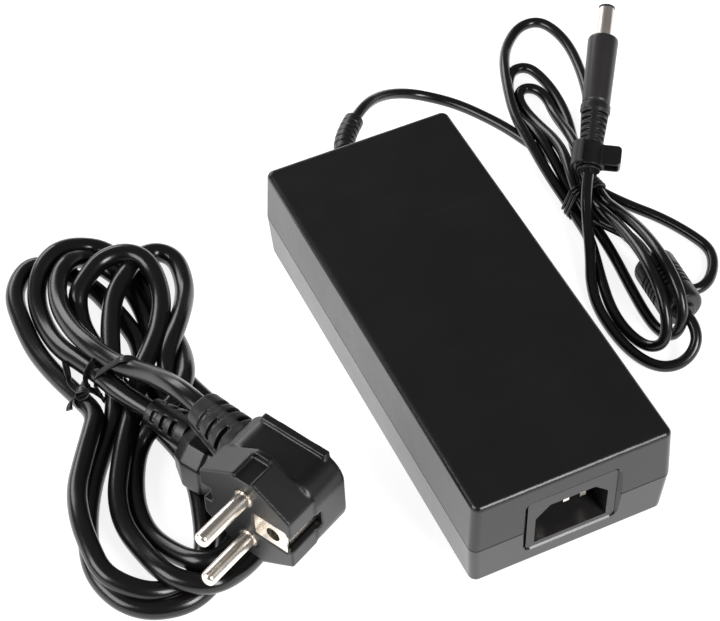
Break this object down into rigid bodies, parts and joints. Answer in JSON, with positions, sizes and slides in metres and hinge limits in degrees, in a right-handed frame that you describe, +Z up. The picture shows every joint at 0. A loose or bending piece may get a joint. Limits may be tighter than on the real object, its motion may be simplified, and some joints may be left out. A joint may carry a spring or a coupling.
{
  "type": "laptop power adapter",
  "caption": "Switch-mode power brick with a mains inlet, a tied output cord with ferrite and barrel plug, and a tied mains lead with a round two-pin plug.",
  "frame": {"origin": "middle of the brick's underside, on the table", "axes": "+Z up; +Y along the brick from its mains inlet to its output cord; +X to the right of the inlet seen from above with the inlet towards the viewer"},
  "size_m": [0.2454, 0.2128, 0.0573],
  "materials": {
    "case_black": "fine spark-eroded texture, satin",
    "inlet_black": "smooth moulded",
    "relief_black": "satin",
    "cord_black": "semi-gloss jacket",
    "plug_black": "satin moulded",
    "tie_black": "gloss",
    "nickel": "bright nickel plate",
    "brass": "plain",
    "ferrite_grey": "sintered",
    "board_green": "solder mask",
    "aluminium": "rolled",
    "sheet_white": "fibre sheet",
    "package_black": "moulded epoxy",
    "copper": "enamelled wire under tape",
    "can_sleeve": "shrink sleeve",
    "film_yellow": "moulded box",
    "disc_blue": "dipped lacquer",
    "fuse_ceramic": "ceramic",
    "wire_red": "insulated wire"
  },
  "bodies": {
    "brick": {"lower_case": "case_black", "upper_case": "case_black", "inlet_housing": "inlet_black", "inlet_line_pin": "nickel", "inlet_neutral_pin": "nickel", "inlet_earth_pin": "nickel", "circuit_board": "board_green", "heat_spreader_bottom": "aluminium", "heat_spreader_top": "aluminium", "insulation_sheet": "sheet_white", "output_wires": "wire_red", "output_strain_relief": "relief_black", "output_cord_stretch": "cord_black", "output_cord_hank": "cord_black", "output_cord_tie": "tie_black", "ferrite_core": "ferrite_grey", "ferrite_cover": "plug_black", "ferrite_cord_stretches": "cord_black", "plug_cord_stretch": "cord_black", "output_plug_relief": "relief_black", "output_plug_grip": "plug_black", "plug_barrel": "nickel", "plug_insulator": "package_black", "plug_inner_contact": "nickel", "plug_center_pin": "nickel", "x_capacitor": "film_yellow", "common_mode_choke_core": "ferrite_grey", "common_mode_choke_windings": "copper", "bulk_capacitor": "can_sleeve", "transformer_core": "ferrite_grey", "transformer_winding": "copper", "y_capacitors": "disc_blue", "optocoupler": "package_black", "mains_fuse": "fuse_ceramic", "thermistor": "disc_blue", "boost_inductor_core": "ferrite_grey", "boost_inductor_winding": "copper", "primary_heat_sink": "aluminium", "bridge_rectifier": "package_black", "primary_transistors": "package_black", "secondary_heat_sink": "aluminium", "output_rectifier": "package_black", "output_capacitors": "can_sleeve", "control_chip": "package_black"},
    "mains_lead": {"mains_plug_body": "plug_black", "mains_plug_line_pin": "nickel", "mains_plug_neutral_pin": "nickel", "earth_socket_contact": "nickel", "side_earth_clips": "nickel", "mains_plug_relief": "relief_black", "mains_connector_body": "plug_black", "mains_connector_relief": "relief_black", "connector_contacts": "brass", "plug_side_cord_stretch": "cord_black", "connector_cord_stretch": "cord_black", "mains_cord_hank": "cord_black", "mains_cord_tie": "tie_black"},
    "cord_clip": {"cord_clip": "relief_black"}
  },
  "joints": [
    {"name": "mains_lead_lift", "type": "slide", "parent": "brick", "child": "mains_lead", "axis": [0, 0, 1], "range_m": [0, 0.06]},
    {"name": "cord_clip_turn", "type": "hinge", "parent": "brick", "child": "cord_clip", "pos_m": [0.0734, 0.0467, 0.0162], "axis": [0.5213, 0.7745, 0.3582], "range_deg": [-150, 10]}
  ]
}
